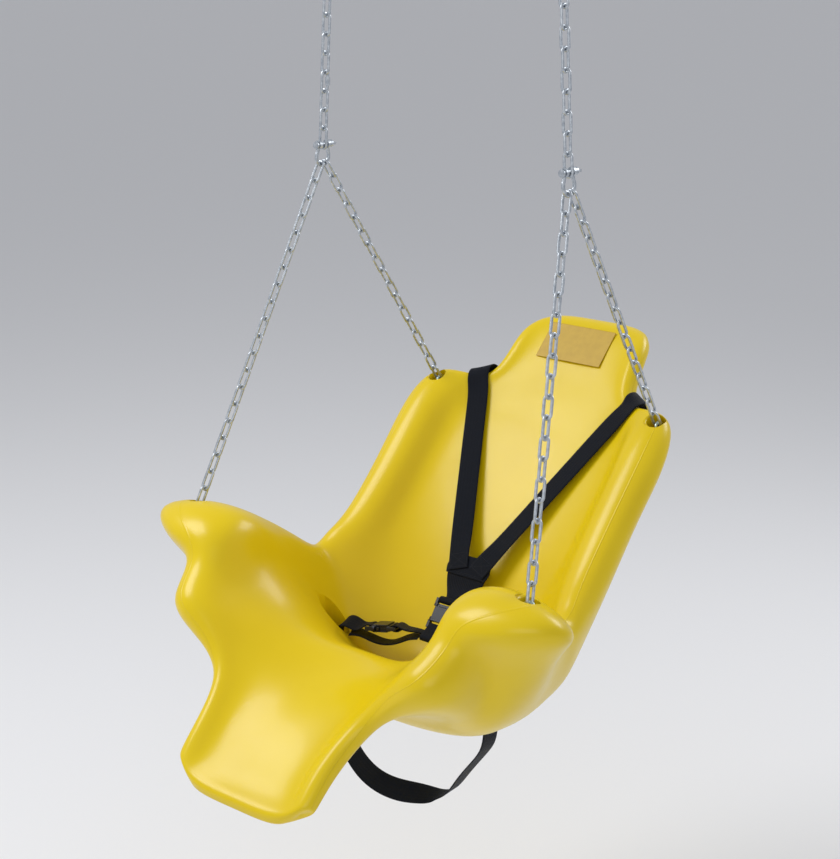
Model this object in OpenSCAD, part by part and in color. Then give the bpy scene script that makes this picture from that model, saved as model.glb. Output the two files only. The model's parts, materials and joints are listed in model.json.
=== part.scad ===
// High-back bucket seat swing on four bridle chains, with a shoulder and lap harness.
// Millimetres. X across the seat, -Y the way the rider faces, +Z up.
// The origin is the middle of the two beam plates, on the beam's underside.

/* [Beam hangers] */
// Distance between the two hangers, across the seat
hanger_spread = 460; // [400:5:600]
// Distance between the two beam bolts of one hanger
beam_bolt_spacing = 66; // [50:1:90]
// Radius of a beam bolt hole
beam_hole_r = 5.5; // [4:0.25:7]
// Depth of the pivot below the beam
pivot_drop = 45; // [35:1:60]
// Radius of the pivot bolt
pivot_r = 6; // [5:0.5:8]
// Ring below the pivot, centre distance
ring_drop = 28; // [24:1:36]

/* [Chain] */
// Distance from one link to the next
chain_pitch = 30.4; // [28:0.1:34]
// Wire thickness of a link
chain_wire = 4.8; // [4:0.1:6]
// Clear width inside a link
link_gap = 9.2; // [8:0.1:11]
// Play between two links
link_play = 0.25; // [0.2:0.05:0.6]
// Links in each front bridle leg
front_links = 20; // [18:1:22]
// Links in each back bridle leg
back_links = 17; // [15:1:19]
// Links in each upper chain, an odd number
upper_links = 9; // [7:2:15]

/* [Shackle] */
// Distance of each shackle pin from the middle
shackle_x = 246; // [220:1:270]
// Radius of the shackle pin
pin_r = 4; // [3:0.5:5]
// Wire radius of the shackle bow
bow_wire_r = 3.2; // [2.5:0.1:4]
// Radius of the bow's round end
bow_r = 14.5; // [13:0.5:18]
// Distance from the pin to the middle of the round end
bow_drop = 20; // [16:1:26]

/* [Chain anchors in the seat] */
// Front hole across, back and up, from the shackle pins' line
front_hole = [345, -213, -584]; // front hole at the moulded rim
// Back hole across, back and up, from the shackle pins' line
back_hole = [236, 286, -446]; // back hole at the moulded rim
// Radius of the moulded cup round each eye bolt
cup_r = 16; // [14:0.5:19]
// Radius of the eye's ring
eye_r = 8.5; // [8:0.5:11]
// Wire radius of the eye's ring
eye_wire_r = 3.25; // [3:0.25:4]
// Radius of the eye bolt's shank
shank_r = 4; // [3:0.5:5]

/* [Webbing] */
// Width of the webbing
web_w = 38; // [25:1:50]
// Thickness of the webbing as modelled
web_t = 2; // [1.4:0.1:3]

/* [Side release buckles] */
// Width of a buckle
buckle_w = 50; // [44:1:60]
// Thickness of a buckle
buckle_t = 13; // [11:0.5:16]
// Length of the socket
socket_l = 39; // [36:1:50]
// Length of the plug's body outside the socket
plug_l = 15; // [14:1:24]

/* [Lap belt slots] */
// Middle of the slot, across and back from the shackle pins' line
slot_at = [170, -72]; // left and right alike
// Depth of the scooped recess round the slot, from the shackle pins' line
recess_z = -842; // [-860:1:-815]
// Radius of the recess
recess_r = 26; // [22:0.5:32]

/* [Seat shell] */
// Steps between two stations along the seat
shell_steps_along = 3; // [2:1:6]
// Steps between two points round a section
shell_steps_round = 3; // [3:2:7]
// Stations from the end of the leg rest to the top of the head rest. Each is
// [y, z, tilt, points], and each point [across, out of the seat, along the seat].
// Points run from the middle of the inside, over the rim, to the middle of the back.
stations = [
 // leg rest, end
 [-486,-928,52, [[0,2,0],[45,2,0],[80,2,3],[100,2,11],[113,2,21],[120,2,30],
   [120,-2,30],[113,-2,21],[100,-2,11],[80,-2,3],[45,-2,0],[0,-2,0]]],
 [-478,-917,50, [[0,12,0],[50,12,0],[88,13,3],[111,14,11],[125,13,20],[133,6,27],
   [133,-6,27],[125,-12,20],[111,-13,11],[88,-13,3],[50,-13,0],[0,-13,0]]],
 [-460,-894,47, [[0,-2,0],[55,-1,0],[94,4,0],[113,13,2],[127,16,4],[138,10,6],
   [141,-1,6],[137,-10,4],[118,-14,2],[92,-16,0],[50,-17,0],[0,-17,0]]],
 // leg rest, middle
 [-416,-854,41, [[0,-4,0],[55,-3,0],[92,3,0],[110,14,0],[124,21,0],[137,17,0],
   [143,5,0],[141,-7,0],[124,-15,0],[92,-19,0],[50,-21,0],[0,-21,0]]],
 // notch between the leg rest and the arms
 [-352,-814,31, [[0,-2,0],[55,0,0],[100,8,0],[124,22,0],[139,33,2],[152,32,0],
   [160,20,-2],[158,8,0],[145,-6,2],[105,-20,2],[55,-25,0],[0,-25,0]]],
 [0,0,0, [[0,-790,-285],[60,-783,-292],[112,-768,-308],[148,-752,-324],[170,-736,-338],
   [190,-727,-350],[208,-737,-358],[212,-754,-350],[203,-768,-338],[168,-786,-318],
   [90,-808,-292],[0,-816,-285]]],
 // hip bulge at the front of the arm
 [0,0,0, [[0,-772,-235],[68,-765,-250],[130,-745,-280],[178,-715,-312],[207,-692,-336],
   [236,-688,-354],[266,-700,-354],[282,-718,-336],[276,-745,-308],[232,-790,-270],
   [122,-828,-235],[0,-838,-225]]],
 // waist of the arm
 [0,0,0, [[0,-768,-194],[72,-762,-210],[142,-731,-238],[195,-695,-270],[221,-660,-290],
   [252,-648,-304],[284,-654,-296],[296,-672,-274],[290,-718,-250],[250,-808,-222],
   [130,-864,-190],[0,-876,-180]]],
 // horn, front
 [0,0,0, [[0,-793,-154],[76,-783,-160],[155,-732,-185],[208,-668,-215],[226,-614,-256],
   [264,-602,-284],[322,-618,-296],[344,-646,-276],[320,-708,-234],[262,-832,-182],
   [135,-892,-145],[0,-905,-138]]],
 // horn at the front chain hole
 [0,0,0, [[0,-831,-122],[80,-815,-122],[165,-748,-132],[218,-675,-160],[238,-594,-200],
   [334,-576,-228],[408,-594,-234],[426,-632,-214],[362,-694,-180],[264,-838,-128],
   [135,-908,-100],[0,-922,-95]]],
 // arm
 [0,0,0, [[0,-880,-70],[84,-864,-70],[160,-800,-75],[218,-720,-95],[246,-638,-130],
   [294,-616,-142],[344,-632,-144],[354,-662,-134],[318,-722,-110],[256,-846,-74],
   [135,-912,-52],[0,-926,-45]]],
 [0,0,0, [[0,-890,-35],[84,-874,-35],[158,-822,-38],[212,-745,-48],[240,-688,-65],
   [266,-664,-72],[294,-676,-74],[304,-702,-68],[292,-756,-56],[246,-846,-28],
   [132,-906,-4],[0,-920,0]]],
 // valley between the arm and the back
 [0,0,0, [[0,-872,18],[82,-857,16],[154,-812,8],[208,-757,-4],[236,-718,-12],
   [259,-704,-15],[280,-714,-15],[288,-736,-13],[275,-785,-6],[234,-842,20],
   [130,-886,52],[0,-900,60]]],
 [0,0,0, [[0,-812,62],[82,-803,58],[152,-776,46],[198,-732,30],[230,-694,20],
   [255,-680,22],[274,-690,24],[282,-714,26],[273,-753,32],[232,-806,64],
   [126,-842,100],[0,-852,108]]],
 // back
 [126,-702,52, [[0,0,0],[82,5,0],[150,21,0],[186,40,0],[210,67,0],[241,79,0],
   [265,70,0],[274,48,0],[269,24,0],[236,-6,0],[120,-32,0],[0,-38,0]]],
 [206,-600,50, [[0,0,0],[80,3,0],[152,16,0],[184,28,0],[206,55,0],[238,64,0],
   [263,55,0],[272,36,0],[267,16,0],[236,-8,0],[120,-31,0],[0,-36,0]]],
 // shoulder at the back chain hole
 [268,-524,47, [[0,0,0],[78,2,0],[146,10,2],[180,22,6],[203,46,18],[236,56,28],
   [264,46,24],[275,28,10],[269,10,-4],[234,-10,0],[118,-31,0],[0,-35,0]]],
 // top edge under the shoulder straps
 [318,-468,46, [[0,0,0],[72,1,0],[128,4,0],[158,11,0],[183,22,6],[212,28,14],
   [236,22,16],[242,6,12],[228,-8,6],[190,-20,2],[104,-32,0],[0,-35,0]]],
 // neck
 [356,-430,45, [[0,0,0],[62,1,0],[105,4,-8],[122,7,-16],[135,9,-23],[147,5,-28],
   [154,-6,-28],[151,-18,-22],[136,-27,-12],[110,-32,-4],[60,-35,0],[0,-36,0]]],
 // head rest
 [396,-387,44, [[0,0,0],[56,1,0],[96,5,0],[112,11,0],[124,12,0],[134,6,0],
   [137,-6,0],[131,-20,0],[117,-29,0],[92,-34,0],[52,-36,0],[0,-37,0]]],
 [434,-347,43, [[0,-2,0],[50,-2,0],[84,-1,-2],[104,-1,-6],[116,-3,-11],[124,-9,-15],
   [124,-21,-15],[116,-29,-11],[101,-33,-6],[80,-35,-2],[48,-36,0],[0,-36,0]]],
 // head rest, top edge
 [450,-331,43, [[0,-17,0],[46,-17,0],[78,-17,-3],[96,-17,-8],[106,-17,-13],[111,-17,-18],
   [111,-21,-18],[106,-21,-13],[96,-21,-8],[78,-21,-3],[46,-21,0],[0,-21,0]]]
];

/* [Hidden] */
$fn = 48;

yellow = [0.93, 0.80, 0.06];
zinc = [0.72, 0.75, 0.77];
webbing = [0.05, 0.06, 0.09];
moulding = [0.07, 0.08, 0.11];

// ---- small vector helpers
function unit(v) = v / norm(v);
function flat_to(v, d) = unit(v - (v * d) * d);
module frame_at(c, x, y, z) {
  multmatrix([[x[0], y[0], z[0], c[0]], [x[1], y[1], z[1], c[1]], [x[2], y[2], z[2], c[2]],
    [0, 0, 0, 1]]) children();
}
module both() { children(); mirror([1, 0, 0]) children(); }

// ---- where things are; the seat's own frame has its zero on the shackle pins' line
hanger_x = hanger_spread / 2;
upper_a = [hanger_x, 0, -pivot_drop - ring_drop - 11];
ring_wire_r = 4;
wire_r = chain_wire / 2;
half_link = (chain_pitch + link_play + chain_wire) / 2;
function reach(n, ra, rb) = (n - 1) * chain_pitch + 2 * half_link
  - (ra + rb + chain_wire + 2 * link_play);
upper_len = reach(upper_links, ring_wire_r, pin_r);
apex_z = upper_a[2] - sqrt(upper_len * upper_len - pow(shackle_x - hanger_x, 2));
pin_at = [shackle_x, 0, 0];
upper_d = unit([shackle_x, 0, apex_z] - upper_a);
bow_axis = unit([0.07, 0, -1]);
bow_at = pin_at + bow_drop * bow_axis;
function on_bow(to) = let(u = to - bow_at,
  p = (u * bow_axis) * bow_axis + [0, u[1], 0]) bow_at + bow_r * unit(p);
// the point on a line from p along d that lies a distance l from a
function at_reach(a, p, d, l) = let(q = p - a, b = q * d, c = q * q - l * l)
  p + (-b + sqrt(b * b - c)) * d;
front_a = on_bow(front_hole);
front_axis = [0, 0, -1];
front_b = at_reach(front_a, front_hole + [0, 0, 60], front_axis,
  reach(front_links, bow_wire_r, eye_wire_r));
front_d = unit(front_b - front_a);
back_a = on_bow(back_hole);
back_axis = unit(back_hole - back_a);
back_b = back_a + reach(back_links, bow_wire_r, eye_wire_r) * back_axis;
back_d = back_axis;

// ---- smooth closed shell from the stations
function placed(s) = [for (p = s[3])
  [p[0], s[0] - p[1] * sin(s[2]) + p[2] * cos(s[2]),
   s[1] + p[1] * cos(s[2]) + p[2] * sin(s[2])]];
function ring(h) = concat(h, [for (i = [10:-1:1]) [-h[i][0], h[i][1], h[i][2]]]);
ring_n = 22;
last = len(stations) - 1;
net_a = [for (s = stations) ring(placed(s))];
net_b = [for (r = net_a) [for (j = [0:ring_n - 1])
  r[j] - (r[(j + ring_n - 1) % ring_n] - 2 * r[j] + r[(j + 1) % ring_n]) / 6]];
net_c = [for (i = [0:last]) [for (j = [0:ring_n - 1])
  i == 0 || i == last ? net_b[i][j]
    : net_b[i][j] - (net_b[i - 1][j] - 2 * net_b[i][j] + net_b[i + 1][j]) / 6]];
net = concat([2 * net_c[0] - net_c[1]], net_c, [2 * net_c[last] - net_c[last - 1]]);
function blend(t) = [pow(1 - t, 3), 3 * pow(t, 3) - 6 * t * t + 4,
  -3 * pow(t, 3) + 3 * t * t + 3 * t + 1, pow(t, 3)] / 6;
function mix4(w, a, b, c, d) = w[0] * a + w[1] * b + w[2] * c + w[3] * d;
rows_n = last * shell_steps_along + 1;
cols_n = ring_n * shell_steps_round;
function row_pts(u) = let(i = min(floor(u), last - 1), w = blend(u - i))
  [for (j = [0:ring_n - 1]) mix4(w, net[i][j], net[i + 1][j], net[i + 2][j], net[i + 3][j])];
function round_pts(r) = [for (j = [0:ring_n - 1], q = [0:shell_steps_round - 1])
  mix4(blend(q / shell_steps_round), r[(j + ring_n - 1) % ring_n], r[j],
    r[(j + 1) % ring_n], r[(j + 2) % ring_n])];
module shell_solid() {
  pts = [for (i = [0:rows_n - 1]) for (p = round_pts(row_pts(i / shell_steps_along))) p];
  side = [for (i = [0:rows_n - 2], j = [0:cols_n - 1])
    let(a = i * cols_n + j, b = i * cols_n + (j + 1) % cols_n, c = b + cols_n, d = a + cols_n)
    each [[a, b, c], [a, c, d]]];
  // each end closes as a strip between its inside and its outside edge
  half = cols_n / 2;
  function pair(o, j, k) = [o + (j + cols_n) % cols_n, o + (k + cols_n) % cols_n];
  steps = floor((half - 1) / 2);
  function strip(o, s) = [for (j = [0:steps]) let(p = pair(o, s * j, s * (half - j)),
    q = pair(o, s * (j + 1), s * (half - j - 1)))
    each (p[0] == p[1] ? [] : q[0] == q[1] || j == steps && half % 2 == 1
      ? [[p[0], q[0], p[1]]] : [[p[0], q[0], p[1]], [q[0], q[1], p[1]]])];
  function turned(f) = [for (t = f) [t[0], t[2], t[1]]];
  e = (rows_n - 1) * cols_n;
  polyhedron(points = pts, faces = concat(turned(side), strip(0, 1), turned(strip(0, -1)),
    turned(strip(e, 1)), strip(e, -1)), convexity = 8);
}
module shell_cuts() {
  both() {
    // front cup, shank hole and nut pocket
    translate(front_hole + [0, 0, -30]) cylinder(r = cup_r, h = 60);
    translate(front_hole + [0, 0, -80]) cylinder(r = shank_r + 0.3, h = 60);
    translate(front_hole + [0, 0, -160]) cylinder(r = 14, h = 116);
    // back cup, shank hole and spot face for the nut
    frame_at(back_hole, flat_to([1, 0, 0], -back_axis), cross(-back_axis,
        flat_to([1, 0, 0], -back_axis)), -back_axis) {
      translate([0, 0, -34]) cylinder(r = cup_r, h = 70);
      translate([0, 0, -90]) cylinder(r = shank_r + 0.3, h = 80);
      translate([0, 0, -90]) cylinder(r = 14, h = 46);
    }
    // scooped recess and slot for the lap belt
    translate([slot_at[0], slot_at[1], recess_z]) cylinder(r = recess_r, h = 200);
    translate([slot_at[0] - 4, slot_at[1] - 22, -960]) cube([8, 44, 200]);
  }
  // screw holes of the strap plates
  on_plates() for (x = [-plate_hole_x, plate_hole_x]) translate([x, 0, 0])
    rotate([90, 0, 0]) cylinder(r = screw_r + 0.2, h = 36, center = true);
}

// ---- chain link, long way along Z, wide way along X
module link(w = wire_r, g = link_gap, l = half_link) {
  r = g / 2 + w;
  s = l - r;
  for (e = [0, 180]) rotate([0, e, 0]) {
    translate([0, 0, s]) rotate([90, 0, 0]) rotate_extrude(angle = 180)
      translate([r, 0]) circle(r = w, $fn = 24);
    translate([r, 0, -s]) cylinder(r = w, h = 2 * s, $fn = 24);
  }
}
module chain(a, d, n, ra, wide, skip = -1) {
  w = flat_to(wide, d);
  v = cross(d, w);
  for (i = [0:n - 1]) if (i != skip)
    let(x = i % 2 == 0 ? w : v)
    frame_at(a + (half_link - ra - wire_r - link_play + i * chain_pitch) * d,
      x, cross(d, x), d) link();
}

// ---- webbing: a smooth band through rows of [middle, width direction]
function band_net(r) = let(n = len(r) - 1, s = [for (i = [0:n]) i == 0 || i == n ? r[i]
    : r[i] - (r[i - 1] - 2 * r[i] + r[i + 1]) / 6])
  concat([2 * s[0] - s[1]], s, [2 * s[n] - s[n - 1]]);
function band_at(c, n, u) = let(i = min(floor(u), n - 1)) mix4(blend(u - i),
  c[i], c[i + 1], c[i + 2], c[i + 3]);
module band(mid, wide, w = web_w, t = web_t, steps = 4) {
  // the length of each width direction scales the band's width there
  n = len(mid) - 1;
  cm = band_net(mid);
  cw = band_net(wide);
  m = n * steps;
  pts = [for (k = [0:m]) let(u = k / steps, c = band_at(cm, n, u),
      d = unit(band_at(cm, n, min(u + 0.01, n)) - band_at(cm, n, max(u - 0.01, 0))),
      q = band_at(cw, n, u), x = flat_to(q, d) * norm(q), z = cross(d, unit(x)))
    each [c + x * w / 2 + z * t / 2, c - x * w / 2 + z * t / 2,
      c - x * w / 2 - z * t / 2, c + x * w / 2 - z * t / 2]];
  side = [for (k = [0:m - 1], j = [0:3]) let(a = k * 4 + j, b = k * 4 + (j + 1) % 4)
    each [[a, b + 4, b], [a, a + 4, b + 4]]];
  polyhedron(points = pts, faces = concat(side, [[0, 1, 2], [0, 2, 3]],
    [[4 * m, 4 * m + 2, 4 * m + 1], [4 * m, 4 * m + 3, 4 * m + 2]]), convexity = 6);
}

// ---- strap paths, in the seat's frame
yoke_o = [0, 84, -712];
yoke_d = unit([0, -0.64, -0.77]);
yoke_n = [0, yoke_d[2], -yoke_d[1]];
function on_yoke(x, up, out) = yoke_o + [x, 0, 0] - up * yoke_d + out * yoke_n;
// steel plates that hold the straps to the back of the seat
plate_at = [117, 279, -562];
plate_d = unit([2, 4, 5]);
plate_w = flat_to([0.99, -0.15, 0], plate_d);
plate_hole_x = 25;
screw_r = 2.5;
// middle of the back's rim under a shoulder strap, and the strap's reach round it
rim_at = [160, 336, -459];
rim_r = 27;
rim_back = unit([0, 9, -4]);
rim_up = flat_to(plate_d, rim_back);
function over_rim(a) = rim_at + rim_r * (cos(a) * rim_back + sin(a) * rim_up);
// where the strap leaves the rim and where it reaches the yoke
strap_top = [147, 296, -469];
strap_foot = [44, 121, -667];
// where the strap lies on the yoke
strap_on_yoke = [on_yoke(31, 25, 2.6), on_yoke(19, -5, 2.6)];
// straight up the back from the plate, over the rim, straight down to the yoke
shoulder_mid = [for (s = [-20:30:100]) plate_at + s * plate_d,
  for (a = [0:45:180]) over_rim(a),
  for (t = [0:0.25:1]) strap_top + t * (strap_foot - strap_top),
  each strap_on_yoke];
shoulder_wide = [for (i = [0:4]) plate_w, for (i = [0:3]) unit([5, -2.5, -1.5]),
  unit([5, -2.5, 0]), for (i = [0:4]) unit([9, -3, -1]),
  for (i = [0:1]) unit(cross(strap_on_yoke[0] - strap_on_yoke[1], yoke_n))];
chest_d = unit([0, -0.58, -0.81]);
chest_o = [0, 23.5, -767];
chest_up = flat_to([0, -0.81, 0.58], chest_d);
lap_d = unit([-0.92, -0.37, -0.1]);
lap_o = [-72, -36, -799.5];
lap_up = flat_to([0, 0.23, 0.97], lap_d);
// a point of a buckle's own frame, in the seat's frame
function by_chest(p) = chest_o + p[0] * chest_d + p[1] * chest_up;
function by_lap(p) = lap_o + p[0] * lap_d + p[1] * lap_up;

// ---- side release buckle: the plug points along +X, its top is +Z
module in_chest() { frame_at(chest_o, chest_d, cross(chest_up, chest_d), chest_up) children(); }
module in_lap() { frame_at(lap_o, lap_d, cross(lap_up, lap_d), lap_up) children(); }
bar_r = 2.6;
module buckle_socket() {
  w = buckle_w; t = buckle_t; l = socket_l;
  difference() {
    union() {
      translate([0.5, -w / 2 + 6, -t / 2]) cube([l - 13, w - 12, t]);
      for (s = [-1, 1]) {
        translate([l - 19, s * (w / 2 - 5.5), 0]) rotate([0, 90, 0])
          cylinder(r = 5.5, h = 7, $fn = 32);
        translate([l - 13, s * (w / 2 - 2.5) - 2.5, -3.5]) cube([13, 5, 7]);
      }
      translate([l - 3.8, 0, 0]) rotate([90, 0, 0]) cylinder(r = bar_r, h = w - 4, center = true);
    }
    // pocket for the prongs and the tongue
    translate([-1, -w / 2 - 1, -3.6]) cube([l - 16, w + 2, 7.2]);
  }
}
module buckle_plug() {
  w = buckle_w; l = plug_l;
  difference() {
    union() {
      translate([-5, -w / 2 + 4, -4.5]) cube([5, w - 8, 9]);
      for (s = [-1, 1]) {
        translate([-5, s * (w / 2 - 4.5), 0]) rotate([0, 90, 0])
          cylinder(r = 4.5, h = 5, $fn = 32);
        translate([-l, s * (w / 2 - 2.5) - 2.5, -3]) cube([l, 5, 6]);
      }
      translate([-l + 2.4, 0, 0]) rotate([90, 0, 0]) cylinder(r = bar_r, h = w - 4, center = true);
      translate([-0.5, -5, -1.8]) cube([22, 10, 3.6]);
    }
    // sockets for the prong roots
    for (s = [-1, 1]) translate([-1.6, s * 15.5, -8]) cylinder(r = 2.9, h = 16, $fn = 32);
  }
}
module buckle_prong(s) {
  translate([-1.6, s * 15.5, -3]) cylinder(r = 2.5, h = 6, $fn = 32);
  translate([-1.4, s * 15.5 - 1.6, -2.7]) cube([18, 3.2, 5.4]);
  translate([15, s * 17.25 - 3.75, -2.7]) cube([6, 7.5, 5.4]);
}

// ---- the named pieces
module hangers() {
  color(zinc) both() translate([hanger_x, 0, 0]) difference() {
    union() {
      translate([-20, -50, -6]) cube([40, 100, 6]);
      translate([-26, -44, -6]) cube([52, 88, 6]);
      for (x = [-20, 20], y = [-44, 44]) translate([x, y, -6]) cylinder(r = 6, h = 6);
      for (x = [-15, 10]) {
        translate([x, -17, -pivot_drop]) cube([5, 34, pivot_drop - 3]);
        translate([x, 0, -pivot_drop]) rotate([0, 90, 0]) cylinder(r = 17, h = 5);
      }
    }
    for (y = [-1, 1]) translate([0, y * beam_bolt_spacing / 2, -8])
      cylinder(r = beam_hole_r, h = 10);
    translate([-20, 0, -pivot_drop]) rotate([0, 90, 0]) cylinder(r = pivot_r + 0.25, h = 40);
  }
}
module pivot_bolts() {
  color(zinc) both() translate([hanger_x, 0, -pivot_drop]) rotate([0, 90, 0]) {
    translate([0, 0, -17.4]) cylinder(r = pivot_r, h = 46);
    translate([0, 0, -17.2]) cylinder(r = 12, h = 2);
    translate([0, 0, -24.7]) cylinder(r = 10.4, h = 7.6, $fn = 6);
  }
}
module pivot_nuts() {
  color(zinc) both() translate([hanger_x, 0, -pivot_drop]) rotate([0, 90, 0]) difference() {
    union() {
      translate([0, 0, 15.2]) cylinder(r = 12, h = 2);
      translate([0, 0, 17.1]) cylinder(r = 10.4, h = 8, $fn = 6);
      translate([0, 0, 25]) cylinder(r = 8, h = 3.2);
    }
    translate([0, 0, 14]) cylinder(r = pivot_r + 0.05, h = 20);
  }
}
module swing_eyes() {
  color(zinc) both() translate([hanger_x, 0, -pivot_drop]) difference() {
    union() {
      rotate([0, 90, 0]) translate([0, 0, -8]) cylinder(r = 14.5, h = 16);
      translate([-4, -6, -20]) cube([8, 12, 10]);
      translate([0, 0, -ring_drop]) rotate([0, 90, 0]) rotate_extrude()
        translate([11, 0]) circle(r = ring_wire_r, $fn = 32);
    }
    rotate([0, 90, 0]) translate([0, 0, -9]) cylinder(r = 9.05, h = 18);
  }
}
module bushings() {
  color([0.62, 0.46, 0.2]) both() translate([hanger_x, 0, -pivot_drop]) rotate([0, 90, 0])
    difference() {
      union() {
        translate([0, 0, -9.6]) cylinder(r = 9, h = 19.2);
        for (z = [-9.6, 8.2]) translate([0, 0, z]) cylinder(r = 12.5, h = 1.4);
      }
      translate([0, 0, -11]) cylinder(r = pivot_r + 0.06, h = 22);
    }
}
quick_at = 5;
module upper_chain(skip) {
  chain(upper_a, upper_d, upper_links, ring_wire_r, [1, 0, 0], skip);
}
module upper_chain_left() { color(zinc) mirror([1, 0, 0]) upper_chain(quick_at); }
module upper_chain_right() { color(zinc) upper_chain(-1); }
// the odd link of the left chain, closed by a threaded sleeve
module quick_link() {
  w = flat_to([1, 0, 0], upper_d);
  v = cross(upper_d, w);
  color(zinc) mirror([1, 0, 0])
    frame_at(upper_a + (half_link - ring_wire_r - wire_r - link_play
        + quick_at * chain_pitch) * upper_d, v, cross(upper_d, v), upper_d) {
      link();
      translate([-link_gap / 2 - wire_r, 0, -6.5]) cylinder(r = 4.4, h = 13, $fn = 6);
    }
}
module shackle_bows() {
  a = 62;
  y0 = 7 + bow_wire_r;
  e = [bow_r * cos(90 - a) , bow_r * sin(90 - a)];
  color(zinc) both() translate(pin_at) rotate([0, -atan(0.07), 0]) difference() {
    union() {
      // round end, then straight legs up to the ears
      translate([0, 0, -bow_drop]) rotate([0, 0, 90]) rotate([90, 0, 0])
        rotate([0, 0, 180 - (90 - a) ]) rotate_extrude(angle = 360 - 2 * a)
        translate([bow_r, 0]) circle(r = bow_wire_r, $fn = 32);
      for (s = [-1, 1]) {
        leg([0, s * e[0], -bow_drop + e[1]], [0, s * y0, -3], bow_wire_r);
        translate([0, s * e[0], -bow_drop + e[1]]) sphere(r = bow_wire_r, $fn = 32);
        translate([0, s * y0, 0]) rotate([90, 0, 0])
          cylinder(r = 7.2, h = 2 * bow_wire_r, center = true);
      }
    }
    rotate([90, 0, 0]) cylinder(r = pin_r + 0.1, h = 60, center = true);
  }
}
module leg(a, b, r) {
  d = unit(b - a);
  frame_at(a, [1, 0, 0], cross(d, [1, 0, 0]), d) cylinder(r = r, h = norm(b - a), $fn = 32);
}
module shackle_pins() {
  color(zinc) both() translate(pin_at) rotate([0, -atan(0.07), 0]) rotate([90, 0, 0]) {
    translate([0, 0, -16]) cylinder(r = pin_r, h = 34);
    translate([0, 0, -19.5]) cylinder(r = 6.4, h = 4.8);
    difference() {
      translate([-4.5, -2, -28]) cube([9, 4, 9]);
      translate([0, 3, -24]) rotate([90, 0, 0]) cylinder(r = 2, h = 6);
    }
    translate([0, 0, 14.7]) cylinder(r = 6, h = 3);
  }
}
module front_chain_right() {
  color(zinc) chain(front_a, front_d, front_links, bow_wire_r, [1, 0, 0]);
}
module front_chain_left() { color(zinc) mirror([1, 0, 0])
  chain(front_a, front_d, front_links, bow_wire_r, [1, 0, 0]); }
module back_chain_right() {
  color(zinc) chain(back_a, back_d, back_links, bow_wire_r, [1, 0, 0]);
}
module back_chain_left() { color(zinc) mirror([1, 0, 0])
  chain(back_a, back_d, back_links, bow_wire_r, [1, 0, 0]); }
// place along an eye bolt: zero at the top of the ring's wire, -Z into the seat,
// with the ring in the local XZ plane
module at_front() { frame_at(front_b, [1, 0, 0], [0, 1, 0], [0, 0, 1]) children(); }
module at_back() {
  x = flat_to([0, 1, 0], -back_axis);
  frame_at(back_b, x, cross(-back_axis, x), -back_axis) children();
}
module eye_bolt(l) {
  translate([0, 0, -eye_r]) rotate([90, 0, 0]) rotate_extrude()
    translate([eye_r, 0]) circle(r = eye_wire_r, $fn = 32);
  translate([0, 0, -2 * eye_r - l]) cylinder(r = shank_r, h = l - 1);
}
front_under = front_hole[2] - 44 - front_b[2];
back_under = -(norm(back_hole - back_a) + 44 - norm(back_b - back_a));
module eye_bolts() {
  color(zinc) both() {
    at_front() eye_bolt(-front_under - 2 * eye_r + 13);
    at_back() eye_bolt(-back_under - 2 * eye_r + 13);
  }
}
module washer() { difference() {
  cylinder(r = 10, h = 1.6);
  translate([0, 0, -1]) cylinder(r = shank_r + 0.2, h = 4);
} }
module hex_nut() { difference() {
  cylinder(r = 7.5, h = 6.5, $fn = 6);
  translate([0, 0, -1]) cylinder(r = shank_r + 0.05, h = 9);
} }
module eye_washers() {
  color(zinc) both() {
    at_front() translate([0, 0, front_under - 1.8]) washer();
    at_back() translate([0, 0, back_under - 1.8]) washer();
  }
}
module eye_nuts() {
  color(zinc) both() {
    at_front() translate([0, 0, front_under - 8.5]) hex_nut();
    at_back() translate([0, 0, back_under - 8.5]) hex_nut();
  }
}
module shell() { color(yellow) difference() { shell_solid(); shell_cuts(); } }
module label() {
  color([0.78, 0.62, 0.16]) translate([-8, 402, -379]) rotate([45, 0, 0])
    translate([-68, -37, 1.6]) cube([136, 74, 0.8]);
}
module shoulder_strap_right() { color(webbing) band(shoulder_mid, shoulder_wide); }
module shoulder_strap_left() {
  color(webbing) mirror([1, 0, 0]) band(shoulder_mid, shoulder_wide);
}
module on_plates() {
  both() frame_at(plate_at, plate_w, cross(plate_d, plate_w), plate_d) children();
}
module anchor_plates() {
  color(zinc) on_plates() difference() {
    union() {
      translate([-plate_hole_x, 1.6, -9]) cube([2 * plate_hole_x, 2, 18]);
      for (x = [-plate_hole_x, plate_hole_x]) translate([x, 3.6, 0]) rotate([90, 0, 0])
        cylinder(r = 9, h = 2);
    }
    for (x = [-plate_hole_x, plate_hole_x]) translate([x, 0, 0]) rotate([90, 0, 0])
      cylinder(r = screw_r + 0.3, h = 20, center = true);
  }
}
module anchor_screws() {
  color(zinc) on_plates() for (x = [-plate_hole_x, plate_hole_x]) translate([x, 3.8, 0]) {
    rotate([-90, 0, 0]) cylinder(r = 5, h = 2.6);
    rotate([90, 0, 0]) translate([0, 0, -0.5]) cylinder(r = screw_r, h = 18);
  }
}
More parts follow.
